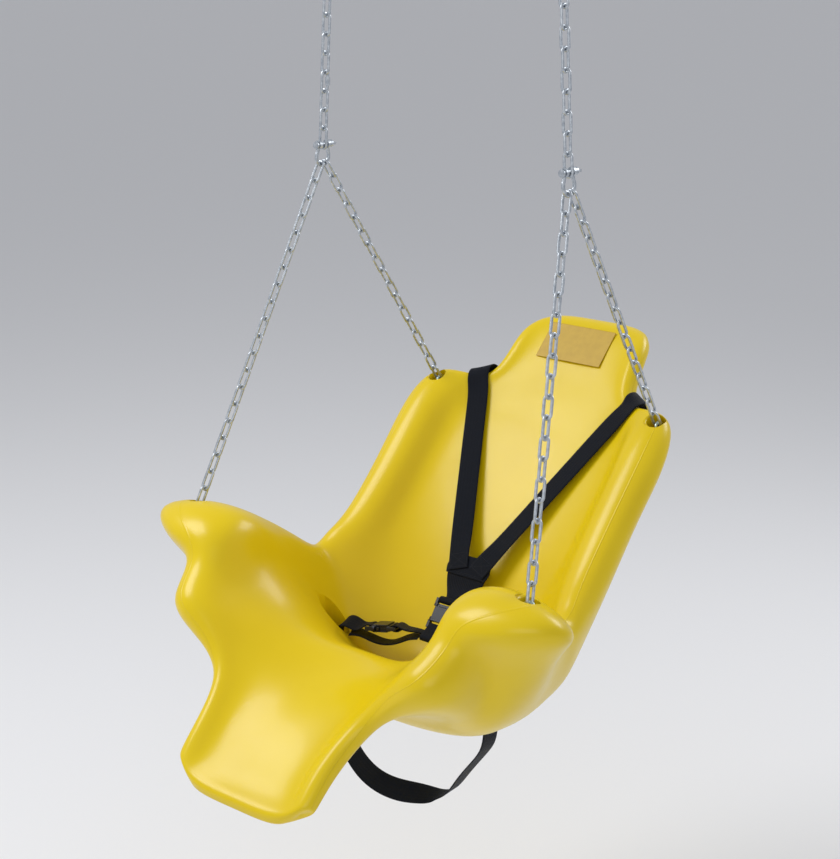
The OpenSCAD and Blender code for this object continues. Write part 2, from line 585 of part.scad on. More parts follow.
// patch that the two shoulder straps and the chest strap are sewn to
module yoke() {
  color(webbing) frame_at(yoke_o, [1, 0, 0], -yoke_d, yoke_n)
    translate([0, 0, -1]) linear_extrude(height = 2)
    polygon([[-40, 22], [40, 22], [45, -2], [41, -15], [-41, -15], [-45, -2]]);
}
module chest_strap() {
  color(webbing) band([on_yoke(0, 6, -2.4), on_yoke(0, -14, -2.4), [0, 68, -744], [0, 55, -754],
    by_chest([-21, -13]), by_chest([-16.5, -5.5]), by_chest([-11.5, -4.7]),
    by_chest([-7.9, 0]), by_chest([-11.5, 4.7]), by_chest([-16.8, 3.4]),
    by_chest([-19.5, -3])],
    [[2.1, 0, 0], [2.1, 0, 0], [1.8, 0, 0], [1.25, 0, 0], for (i = [0:6]) [1, 0, 0]]);
}
module chest_plug() { color(moulding) in_chest() buckle_plug(); }
module chest_prong_left() { color(moulding) in_chest() buckle_prong(-1); }
module chest_prong_right() { color(moulding) in_chest() buckle_prong(1); }
module chest_socket() { color(moulding) in_chest() buckle_socket(); }
module chest_loop() {
  loop = [[31, 0.6], [31.5, 3.4], [35.5, 5.2], [42, 7.5], [52, 12.8], [59, 16], [64, 12],
    [59, 1], [48, -10], [44, -12.5], [40, -10], [37.5, -6], [34, -4.6], [31, -3], [31, -0.6]];
  color(webbing) band([for (p = loop) by_chest(p)], [for (p = loop) [1, 0, 0]]);
}
module lap_socket() { color(moulding) in_lap() buckle_socket(); }
module lap_plug() { color(moulding) in_lap() buckle_plug(); }
module lap_prong_front() { color(moulding) in_lap() buckle_prong(-1); }
module lap_prong_rear() { color(moulding) in_lap() buckle_prong(1); }
lap_wide = [0.36, -0.9, 0.22];
module lap_strap_left() {
  color(webbing) band([by_lap([29.5, -5]), by_lap([30.2, 0]), by_lap([32, 4.2]),
    by_lap([36.5, 4.9]), by_lap([42, 3.6]), [-126, -57, -806], [-142, -61, -799],
    [-157, -69, -807], [-167.5, -72, -830], [-170, -72, -856], [-170, -72, -872]],
    [for (i = [0:4]) unit(lap_wide), [0.3, -0.95, -0.1], [0.3, -0.92, -0.2],
    [0.2, -0.97, 0], for (i = [0:2]) [0, -1, 0]]);
}
module lap_strap_right() {
  color(webbing) band([by_lap([-19, -4.4]), by_lap([-13, -4.8]), by_lap([-8.8, -3.6]),
    by_lap([-7.6, 0]), by_lap([-8.8, 3.6]), by_lap([-13, 4.8]), by_lap([-19, 3.6]),
    [-44, -25, -799], [-28, -11, -803], [0, -7, -807], [30, -12, -806], [70, -28, -801],
    [110, -46, -799], [140, -59, -796], [157, -69, -807], [167.5, -72, -830],
    [170, -72, -856], [170, -72, -872]],
    [for (i = [0:6]) unit(lap_wide), unit(lap_wide), [0.15, -0.4, 0], [0, -0.38, 0],
    [-0.15, -0.55, 0], [-0.3, -0.95, 0], [-0.3, -0.95, -0.1], [-0.3, -0.92, -0.2],
    [-0.2, -0.97, 0], [0, -1, 0], [0, -1, 0], [0, -1, 0]]);
}
module lap_tail() {
  color(webbing) band([[-137, -64, -814], [-121, -57, -817], [-105, -50, -823], [-89, -43, -828],
    [-72, -36, -828], [-54, -29, -820], [-38, -23, -812], [-24, -18, -809.5]],
    [[0.3, -0.95, -0.1], for (i = [0:3]) [0.36, -0.92, 0.15], [0.3, -0.9, 0],
    [0.25, -0.8, 0], [0.2, -0.7, 0]]);
}
module under_strap() {
  color(webbing) band([[-170, -72, -873], [-170, -72, -892], [-171, -71, -925], [-164, -68, -970],
    [-146, -66, -1030], [-108, -58, -1078], [-60, -46, -1096], [-20, -30, -1098],
    [16, -16, -1096], [50, -20, -1072], [90, -38, -1022], [132, -54, -972], [160, -66, -935],
    [169, -71, -900], [170, -72, -873]],
    [for (v = [[0, 1, 0], [0, 1, 0], [0, 1, 0], [0, 1, 0.1], [0, 1, 0.2], [0, 0.9, 0.5],
    [0, 0.6, 0.8], [0, 0.75, 0.6], [0.2, 0.95, 0.2], [0, 1, 0.1], [0, 1, 0], [0, 1, 0],
    [0, 1, 0], [0, 1, 0], [0, 1, 0]]) unit(v)]);
}

module seat() { translate([0, 0, apex_z]) children(); }
hangers();
pivot_bolts();
pivot_nuts();
swing_eyes();
bushings();
upper_chain_left();
upper_chain_right();
quick_link();
seat() shackle_bows();
seat() shackle_pins();
seat() front_chain_left();
seat() front_chain_right();
seat() back_chain_left();
seat() back_chain_right();
seat() eye_bolts();
seat() eye_washers();
seat() eye_nuts();
seat() shell();
seat() label();
seat() shoulder_strap_left();
seat() shoulder_strap_right();
seat() anchor_plates();
seat() anchor_screws();
seat() yoke();
seat() chest_strap();
seat() chest_plug();
seat() chest_prong_left();
seat() chest_prong_right();
seat() chest_socket();
seat() chest_loop();
seat() lap_strap_left();
seat() lap_socket();
seat() lap_plug();
seat() lap_prong_front();
seat() lap_prong_rear();
seat() lap_strap_right();
seat() lap_tail();
seat() under_strap();
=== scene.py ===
"""Looks for the high-back bucket swing seat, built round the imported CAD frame."""

import json
import math

import bmesh
import bpy
import numpy as np
from mathutils import Matrix, Vector


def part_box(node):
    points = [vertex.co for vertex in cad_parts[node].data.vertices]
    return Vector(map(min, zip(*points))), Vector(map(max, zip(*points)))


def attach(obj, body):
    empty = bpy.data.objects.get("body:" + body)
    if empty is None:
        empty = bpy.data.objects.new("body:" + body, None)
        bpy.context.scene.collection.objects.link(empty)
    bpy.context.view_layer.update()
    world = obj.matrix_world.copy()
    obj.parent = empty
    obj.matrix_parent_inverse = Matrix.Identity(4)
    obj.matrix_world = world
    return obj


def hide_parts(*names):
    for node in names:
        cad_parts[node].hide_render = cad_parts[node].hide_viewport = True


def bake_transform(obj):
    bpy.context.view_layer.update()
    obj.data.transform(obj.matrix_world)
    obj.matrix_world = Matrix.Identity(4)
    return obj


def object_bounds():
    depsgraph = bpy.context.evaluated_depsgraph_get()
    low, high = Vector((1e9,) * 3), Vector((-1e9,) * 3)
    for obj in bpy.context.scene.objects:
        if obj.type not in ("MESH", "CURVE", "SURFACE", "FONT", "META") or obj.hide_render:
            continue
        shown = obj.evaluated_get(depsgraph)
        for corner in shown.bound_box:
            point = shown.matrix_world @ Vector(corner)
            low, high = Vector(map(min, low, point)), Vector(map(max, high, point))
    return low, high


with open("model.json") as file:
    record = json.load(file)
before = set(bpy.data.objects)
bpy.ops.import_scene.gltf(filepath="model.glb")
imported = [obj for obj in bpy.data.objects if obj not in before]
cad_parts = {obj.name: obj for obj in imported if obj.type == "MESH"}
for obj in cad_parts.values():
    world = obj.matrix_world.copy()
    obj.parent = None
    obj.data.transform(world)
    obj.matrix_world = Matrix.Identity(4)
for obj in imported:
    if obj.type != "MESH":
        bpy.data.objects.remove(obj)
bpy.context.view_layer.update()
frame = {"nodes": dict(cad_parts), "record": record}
MM = 0.001


def box_middle(node):
    """The middle of a CAD node's box."""
    low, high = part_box(node)
    return (Vector(low) + Vector(high)) / 2


# The seat's own zero, on the line of the two shackle pins.
SEAT_ZERO = Vector((0, 0, box_middle("shackle_pins").z))

# ---------------------------------------------------------------- seat shell

# Stations along the seat in millimetres, as the CAD part has them:
# y, z, tilt, then points [across, out of the seat, along the seat].
STATIONS = [
    (-486, -928, 52, [[0, 2, 0], [45, 2, 0], [80, 2, 3], [100, 2, 11], [113, 2, 21], [120, 2, 30],
     [120, -2, 30], [113, -2, 21], [100, -2, 11], [80, -2, 3], [45, -2, 0], [0, -2, 0]]),
    (-478, -917, 50, [[0, 12, 0], [50, 12, 0], [88, 13, 3], [111, 14, 11], [125, 13, 20], [133, 6, 27],
     [133, -6, 27], [125, -12, 20], [111, -13, 11], [88, -13, 3], [50, -13, 0], [0, -13, 0]]),
    (-460, -894, 47, [[0, -2, 0], [55, -1, 0], [94, 4, 0], [113, 13, 2], [127, 16, 4], [138, 10, 6],
     [141, -1, 6], [137, -10, 4], [118, -14, 2], [92, -16, 0], [50, -17, 0], [0, -17, 0]]),
    (-416, -854, 41, [[0, -4, 0], [55, -3, 0], [92, 3, 0], [110, 14, 0], [124, 21, 0], [137, 17, 0],
     [143, 5, 0], [141, -7, 0], [124, -15, 0], [92, -19, 0], [50, -21, 0], [0, -21, 0]]),
    (-352, -814, 31, [[0, -2, 0], [55, 0, 0], [100, 8, 0], [124, 22, 0], [139, 33, 2], [152, 32, 0],
     [160, 20, -2], [158, 8, 0], [145, -6, 2], [105, -20, 2], [55, -25, 0], [0, -25, 0]]),
    (0, 0, 0, [[0, -790, -285], [60, -783, -292], [112, -768, -308], [148, -752, -324],
     [170, -736, -338], [190, -727, -350], [208, -737, -358], [212, -754, -350], [203, -768, -338],
     [168, -786, -318], [90, -808, -292], [0, -816, -285]]),
    (0, 0, 0, [[0, -772, -235], [68, -765, -250], [130, -745, -280], [178, -715, -312],
     [207, -692, -336], [236, -688, -354], [266, -700, -354], [282, -718, -336], [276, -745, -308],
     [232, -790, -270], [122, -828, -235], [0, -838, -225]]),
    (0, 0, 0, [[0, -768, -194], [72, -762, -210], [142, -731, -238], [195, -695, -270],
     [221, -660, -290], [252, -648, -304], [284, -654, -296], [296, -672, -274], [290, -718, -250],
     [250, -808, -222], [130, -864, -190], [0, -876, -180]]),
    (0, 0, 0, [[0, -793, -154], [76, -783, -160], [155, -732, -185], [208, -668, -215],
     [226, -614, -256], [264, -602, -284], [322, -618, -296], [344, -646, -276], [320, -708, -234],
     [262, -832, -182], [135, -892, -145], [0, -905, -138]]),
    (0, 0, 0, [[0, -831, -122], [80, -815, -122], [165, -748, -132], [218, -675, -160],
     [238, -594, -200], [334, -576, -228], [408, -594, -234], [426, -632, -214], [362, -694, -180],
     [264, -838, -128], [135, -908, -100], [0, -922, -95]]),
    (0, 0, 0, [[0, -880, -70], [84, -864, -70], [160, -800, -75], [218, -720, -95],
     [246, -638, -130], [294, -616, -142], [344, -632, -144], [354, -662, -134], [318, -722, -110],
     [256, -846, -74], [135, -912, -52], [0, -926, -45]]),
    (0, 0, 0, [[0, -890, -35], [84, -874, -35], [158, -822, -38], [212, -745, -48],
     [240, -688, -65], [266, -664, -72], [294, -676, -74], [304, -702, -68], [292, -756, -56],
     [246, -846, -28], [132, -906, -4], [0, -920, 0]]),
    (0, 0, 0, [[0, -872, 18], [82, -857, 16], [154, -812, 8], [208, -757, -4], [236, -718, -12],
     [259, -704, -15], [280, -714, -15], [288, -736, -13], [275, -785, -6], [234, -842, 20],
     [130, -886, 52], [0, -900, 60]]),
    (0, 0, 0, [[0, -812, 62], [82, -803, 58], [152, -776, 46], [198, -732, 30], [230, -694, 20],
     [255, -680, 22], [274, -690, 24], [282, -714, 26], [273, -753, 32], [232, -806, 64],
     [126, -842, 100], [0, -852, 108]]),
    (126, -702, 52, [[0, 0, 0], [82, 5, 0], [150, 21, 0], [186, 40, 0], [210, 67, 0], [241, 79, 0],
     [265, 70, 0], [274, 48, 0], [269, 24, 0], [236, -6, 0], [120, -32, 0], [0, -38, 0]]),
    (206, -600, 50, [[0, 0, 0], [80, 3, 0], [152, 16, 0], [184, 28, 0], [206, 55, 0], [238, 64, 0],
     [263, 55, 0], [272, 36, 0], [267, 16, 0], [236, -8, 0], [120, -31, 0], [0, -36, 0]]),
    (268, -524, 47, [[0, 0, 0], [78, 2, 0], [146, 10, 2], [180, 22, 6], [203, 46, 18], [236, 56, 28],
     [264, 46, 24], [275, 28, 10], [269, 10, -4], [234, -10, 0], [118, -31, 0], [0, -35, 0]]),
    (318, -468, 46, [[0, 0, 0], [72, 1, 0], [128, 4, 0], [158, 11, 0], [183, 22, 6], [212, 28, 14],
     [236, 22, 16], [242, 6, 12], [228, -8, 6], [190, -20, 2], [104, -32, 0], [0, -35, 0]]),
    (356, -430, 45, [[0, 0, 0], [62, 1, 0], [105, 4, -8], [122, 7, -16], [135, 9, -23],
     [147, 5, -28], [154, -6, -28], [151, -18, -22], [136, -27, -12], [110, -32, -4], [60, -35, 0],
     [0, -36, 0]]),
    (396, -387, 44, [[0, 0, 0], [56, 1, 0], [96, 5, 0], [112, 11, 0], [124, 12, 0], [134, 6, 0],
     [137, -6, 0], [131, -20, 0], [117, -29, 0], [92, -34, 0], [52, -36, 0], [0, -37, 0]]),
    (434, -347, 43, [[0, -2, 0], [50, -2, 0], [84, -1, -2], [104, -1, -6], [116, -3, -11],
     [124, -9, -15], [124, -21, -15], [116, -29, -11], [101, -33, -6], [80, -35, -2], [48, -36, 0],
     [0, -36, 0]]),
    (450, -331, 43, [[0, -17, 0], [46, -17, 0], [78, -17, -3], [96, -17, -8], [106, -17, -13],
     [111, -17, -18], [111, -21, -18], [106, -21, -13], [96, -21, -8], [78, -21, -3], [46, -21, 0],
     [0, -21, 0]]),
]
STEPS_ALONG = 8
STEPS_ROUND = 8
FRONT_HOLE = (345, -213, -584)
BACK_HOLE = (236, 286, -446)
CUP_R = 16
CUP_TOP = 40
FRONT_CUP_DEPTH = 30
BACK_CUP_DEPTH = 34
SHANK_R = 4.3
NUT_POCKET_R = 14
# A small turn of every round cutter, so its points miss the surface's own rows.
CUTTER_TURN = 0.37
SLOT = (170, -72)
RECESS_Z = -842
RECESS_R = 26
RECESS_CORNER = 12
RECESS_TOP = -640


def blend_weights(t):
    """Uniform cubic spline weights of four neighbours at t between the middle two."""
    t = np.asarray(t, float)
    second, third = 3 * t**3 - 6 * t**2 + 4, -3 * t**3 + 3 * t**2 + 3 * t + 1
    return np.stack([(1 - t) ** 3, second, third, t**3]) / 6


def shell_net():
    """One ring of 22 control points per station, sharpened so the surface meets the stations."""
    rings = []
    for y, z, tilt, points in STATIONS:
        s, c = math.sin(math.radians(tilt)), math.cos(math.radians(tilt))
        half = [(p[0], y - p[1] * s + p[2] * c, z + p[1] * c + p[2] * s) for p in points]
        rings.append(half + [(-x, v, w) for x, v, w in half[10:0:-1]])
    a = np.array(rings, float)
    b = a - (np.roll(a, 1, 1) - 2 * a + np.roll(a, -1, 1)) / 6
    c = b.copy()
    c[1:-1] = b[1:-1] - (b[:-2] - 2 * b[1:-1] + b[2:]) / 6
    return np.concatenate([[2 * c[0] - c[1]], c, [2 * c[-1] - c[-2]]])


def spline_rows(net, steps):
    """Smooth rows through a padded net, steps rows to each interval."""
    last = len(net) - 3
    rows = []
    for k in range(last * steps + 1):
        i = min(k // steps, last - 1)
        w = blend_weights(k / steps - i)
        rows.append(sum(w[q] * net[i + q] for q in range(4)))
    return np.array(rows)


def mesh_object(name, points, faces, uv=None):
    """A new object at the origin, with its place in its mesh."""
    mesh = bpy.data.meshes.new(name)
    mesh.from_pydata([tuple(p) for p in points], [], faces)
    if uv is not None:
        layer = mesh.uv_layers.new(name="UVMap")
        layer.data.foreach_set("uv", np.asarray(uv, np.float32).ravel())
    mesh.update()
    made = bpy.data.objects.new(name, mesh)
    bpy.context.scene.collection.objects.link(made)
    return made


def seat(points):
    """Millimetres in the seat's frame to metres in the row's frame."""
    return np.asarray(points, float) * MM + np.array(SEAT_ZERO)


def shell_surface():
    rows = spline_rows(shell_net(), STEPS_ALONG)
    columns = []
    for k in range(22 * STEPS_ROUND):
        j = k // STEPS_ROUND
        w = blend_weights(k / STEPS_ROUND - j)
        columns.append(sum(w[q] * rows[:, (j + q - 1) % 22] for q in range(4)))
    grid = np.stack(columns, 1)
    n, m = grid.shape[:2]
    faces, uv = [], []
    for i in range(n - 1):
        for j in range(m):
            k = (j + 1) % m
            faces.append((i * m + j, (i + 1) * m + j, (i + 1) * m + k, i * m + k))
            corners = ((j, i), (j, i + 1), (j + 1, i + 1), (j + 1, i))
            uv += [(column / m, row / n) for column, row in corners]
    half = m // 2
    for start, flip in ((0, False), ((n - 1) * m, True)):
        for side in (1, -1):
            for j in range(half // 2):
                p, q = start + (side * j) % m, start + (side * (half - j)) % m
                r, s = start + (side * (j + 1)) % m, start + (side * (half - j - 1)) % m
                face = [p, r, s, q] if r != s else [p, r, q]
                if flip == (side == 1):
                    face.reverse()
                faces.append(tuple(face))
                uv += [(0.5, 0.5)] * len(face)
    return mesh_object("seat_shell", seat(grid.reshape(-1, 3)), faces, uv)


def axes_from(z, x=(1, 0, 0)):
    """A right-handed matrix with its third column along z and its first near x."""
    z = Vector(z).normalized()
    x = Vector(x)
    x = (x - z * x.dot(z)).normalized()
    return Matrix((x, z.cross(x), z)).transposed()


def lathe(profile, place, turn, sides=64):
    """Points and faces of a closed turned solid; the profile runs from axis to axis."""
    points, faces = [], []
    ring = []
    for r, z in profile:
        if r == 0:
            ring.append([len(points)] * sides)
            points.append((0, 0, z))
        else:
            ring.append([len(points) + k for k in range(sides)])
            turns = [2 * math.pi * (k + CUTTER_TURN) / sides for k in range(sides)]
            points += [(r * math.cos(t), r * math.sin(t), z) for t in turns]
    for a, b in zip(ring, ring[1:]):
        for k in range(sides):
            q = (k + 1) % sides
            face = list(dict.fromkeys((a[k], a[q], b[q], b[k])))
            faces.append(tuple(face))
    placed = [Vector(place) + turn @ Vector(p) for p in points]
    return [tuple(p) for p in placed], faces


def arc(centre, radius, start, end, steps=6):
    """Points of an arc in a profile, angles in degrees."""
    turns = [math.radians(start + (end - start) * k / steps) for k in range(steps + 1)]
    return [(centre[0] + radius * math.cos(t), centre[1] + radius * math.sin(t)) for t in turns]


def cup_profile(depth, top):
    """A cup with a rounded floor corner and a rounded lip at zero height."""
    floor = arc((CUP_R - 4, -depth + 4), 4, -90, 0)
    lip = arc((CUP_R + 5, -5), 5, 180, 90)
    return [(0, -depth)] + floor + lip + [(CUP_R + 9, top), (0, top)]


def stadium(width, length, low, high, steps=8):
    """A prism with round ends, long way along Y."""
    r = width / 2
    outline = arc((0, length / 2 - r), r, 0, 180, steps)
    outline += arc((0, r - length / 2), r, 180, 360, steps)
    n = len(outline)
    points = [(x, y, z) for z in (low, high) for x, y in outline]
    faces = [tuple(range(n - 1, -1, -1)), tuple(range(n, 2 * n))]
    faces += [(k, (k + 1) % n, n + (k + 1) % n, n + k) for k in range(n)]
    return points, faces


def shell_cutters():
    """The shell's openings as closed solids, left and right; the front nuts stay behind the skin."""
    upright = Matrix.Identity(3)
    tilted = axes_from(-Vector(BACK_DIRECTION))
    shank = [(0, -60), (SHANK_R, -60), (SHANK_R, -20), (0, -20)]
    pocket = [(0, -90), (NUT_POCKET_R, -90), (NUT_POCKET_R, -46), (NUT_POCKET_R - 2, -44), (0, -44)]
    solids = [
        lathe(cup_profile(FRONT_CUP_DEPTH, CUP_TOP), FRONT_HOLE, upright),
        lathe(shank, FRONT_HOLE, upright),
        lathe(cup_profile(BACK_CUP_DEPTH, CUP_TOP), BACK_HOLE, tilted),
        lathe(shank, BACK_HOLE, tilted),
        lathe(pocket, BACK_HOLE, tilted),
    ]
    corner = (RECESS_R - RECESS_CORNER, RECESS_Z + RECESS_CORNER)
    bowl = [(0, RECESS_Z)] + arc(corner, RECESS_CORNER, -90, 0)
    bowl += [(RECESS_R, RECESS_TOP), (0, RECESS_TOP)]
    solids.append(lathe(bowl, (SLOT[0], SLOT[1], 0), upright))
    points, faces = stadium(8, 44, -960, -760)
    solids.append(([(x + SLOT[0], y + SLOT[1], z) for x, y, z in points], faces))
    made = []
    for k, (points, faces) in enumerate(solids):
        for side in (1, -1):
            placed = seat([(side * x, y, z) for x, y, z in points])
            turned = faces if side == 1 else [tuple(reversed(f)) for f in faces]
            made.append(mesh_object(f"cutter_{k}_{side}", placed, turned))
    return made


def make_outward(made):
    """Turns the faces of a closed mesh outward."""
    work = bmesh.new()
    work.from_mesh(made.data)
    bmesh.ops.recalc_face_normals(work, faces=work.faces)
    work.to_mesh(made.data)
    work.free()


def build_shell():
    shell = shell_surface()
    make_outward(shell)
    for cutter in shell_cutters():
        make_outward(cutter)
        cut = shell.modifiers.new("cut", "BOOLEAN")
        cut.operation = "DIFFERENCE"
        cut.solver = "EXACT"
        cut.object = cutter
        apply_modifiers(shell)
        bpy.data.objects.remove(cutter)
    shade(shell, 42)
    finish_piece(shell, "yellow", body="seat", instead=["shell"])


def apply_modifiers(made):
    """Keeps the evaluated mesh and drops the modifiers."""
    graph = bpy.context.evaluated_depsgraph_get()
    graph.update()
    mesh = bpy.data.meshes.new_from_object(made.evaluated_get(graph))
    made.modifiers.clear()
    made.data = mesh


def shade(made, degrees):
    made.data.shade_smooth()
    made.data.set_sharp_from_angle(angle=math.radians(degrees))


def finish_piece(made, material, body=None, instead=()):
    """Material, body and the CAD nodes that the piece stands for."""
    made.data.materials.clear()
    made.data.materials.append(MATERIALS[material])
    if body:
        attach(made, body)
    if instead:
        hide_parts(*instead)
    return made


# ------------------------------------------------------------------ webbing

WEB_W = 38
WEB_T = 2
ROW_STEPS = 12


def unit(v):
    v = np.asarray(v, float)
    return v / np.linalg.norm(v)


def across(v, d):
    """The unit part of v at right angles to d."""
    return unit(v - (v @ d) * d)


def band_rows(middle, wide):
    """Middle, half-width and normal of a smooth band at even steps."""

    def padded_net(rows):
        given = np.array(rows, float)
        r = given.copy()
        r[1:-1] -= (given[:-2] - 2 * given[1:-1] + given[2:]) / 6
        return np.concatenate([[2 * r[0] - r[1]], r, [2 * r[-1] - r[-2]]])

    line = spline_rows(padded_net(middle), ROW_STEPS)
    turn = spline_rows(padded_net(wide), ROW_STEPS)
    rows = []
    for k, centre in enumerate(line):
        d = unit(line[min(k + 1, len(line) - 1)] - line[max(k - 1, 0)])
        x = across(turn[k], d)
        rows.append((centre, x * np.linalg.norm(turn[k]) * WEB_W / 2, np.cross(d, x)))
    return rows


def band(name, middle, wide):
    """Webbing with rounded edges through rows of middle and width, in the seat's frame."""
    rows = band_rows(middle, wide)
    section = [(s, 1) for s in np.linspace(0.97, -0.97, 9)] + [(-1, 0.45), (-1, -0.45)]
    section += [(s, -1) for s in np.linspace(-0.97, 0.97, 9)] + [(1, -0.45), (1, 0.45)]
    m = len(section)
    points, along = [], [0.0]
    for k, (centre, x, z) in enumerate(rows):
        if k:
            along.append(along[-1] + float(np.linalg.norm(centre - rows[k - 1][0])) * MM)
        half = float(np.linalg.norm(x))
        for s, t in section:
            points.append(centre + x * s + z * (t * WEB_T / 2))
    faces, uv = [], []
    for k in range(len(rows) - 1):
        for j in range(m):
            q = (j + 1) % m
            faces.append((k * m + j, k * m + q, (k + 1) * m + q, (k + 1) * m + j))
            for row, col in ((k, j), (k, q), (k + 1, q), (k + 1, j)):
                uv.append((section[col][0] * half * MM, along[row]))
    end = (len(rows) - 1) * m
    faces += [tuple(range(m - 1, -1, -1)), tuple(range(end, end + m))]
    uv += [(0, 0)] * (2 * m)
    made = mesh_object(name, seat(points), faces, uv)
    make_outward(made)
    shade(made, 60)
    return made


YOKE_O = np.array([0, 84, -712.0])
YOKE_D = unit([0, -0.64, -0.77])
YOKE_N = np.array([0, YOKE_D[2], -YOKE_D[1]])


def on_yoke(x, up, out):
    return YOKE_O + np.array([x, 0, 0]) - up * YOKE_D + out * YOKE_N


class Buckle:
    """The frame of a side release buckle: the plug points along d, its top is up."""

    def __init__(self, origin, along, up):
        self.o = np.array(origin, float)
        self.d = unit(along)
        self.up = across(np.array(up, float), self.d)
        self.side = np.cross(self.up, self.d)

    def at(self, x, z, y=0.0):
        return self.o + x * self.d + z * self.up + y * self.side


CHEST = Buckle((0, 23.5, -767), (0, -0.58, -0.81), (0, -0.81, 0.58))
LAP = Buckle((-72, -36, -799.5), (-0.92, -0.37, -0.1), (0, 0.23, 0.97))
LAP_WIDE = unit([0.36, -0.9, 0.22])

# A shoulder strap goes straight up the back from its plate, over the rim and straight to the yoke.
PLATE_AT = np.array([117, 279, -562.0])
PLATE_D = unit([2, 4, 5])
PLATE_W = across(np.array([0.99, -0.15, 0]), PLATE_D)
RIM_AT = np.array([160, 336, -459.0])
RIM_R = 27
RIM_BACK = unit([0, 9, -4])
RIM_UP = across(PLATE_D, RIM_BACK)
STRAP_TOP = np.array([147, 296, -469.0])
STRAP_FOOT = np.array([44, 121, -667.0])
ON_YOKE = [on_yoke(31, 25, 2.6), on_yoke(19, -5, 2.6)]


def over_rim(degrees):
    a = math.radians(degrees)
    return RIM_AT + RIM_R * (math.cos(a) * RIM_BACK + math.sin(a) * RIM_UP)


SHOULDER_MIDDLE = [PLATE_AT + s * PLATE_D for s in range(-20, 101, 30)]
SHOULDER_MIDDLE += [over_rim(a) for a in range(0, 181, 45)]
SHOULDER_MIDDLE += [STRAP_TOP + k / 4 * (STRAP_FOOT - STRAP_TOP) for k in range(5)] + ON_YOKE
SHOULDER_WIDE = [PLATE_W] * 5 + [unit([5, -2.5, -1.5])] * 4 + [unit([5, -2.5, 0])]
SHOULDER_WIDE += [unit([9, -3, -1])] * 5 + [unit(np.cross(ON_YOKE[0] - ON_YOKE[1], YOKE_N))] * 2


def mirrored(points):
    return [(-p[0], p[1], p[2]) for p in points]


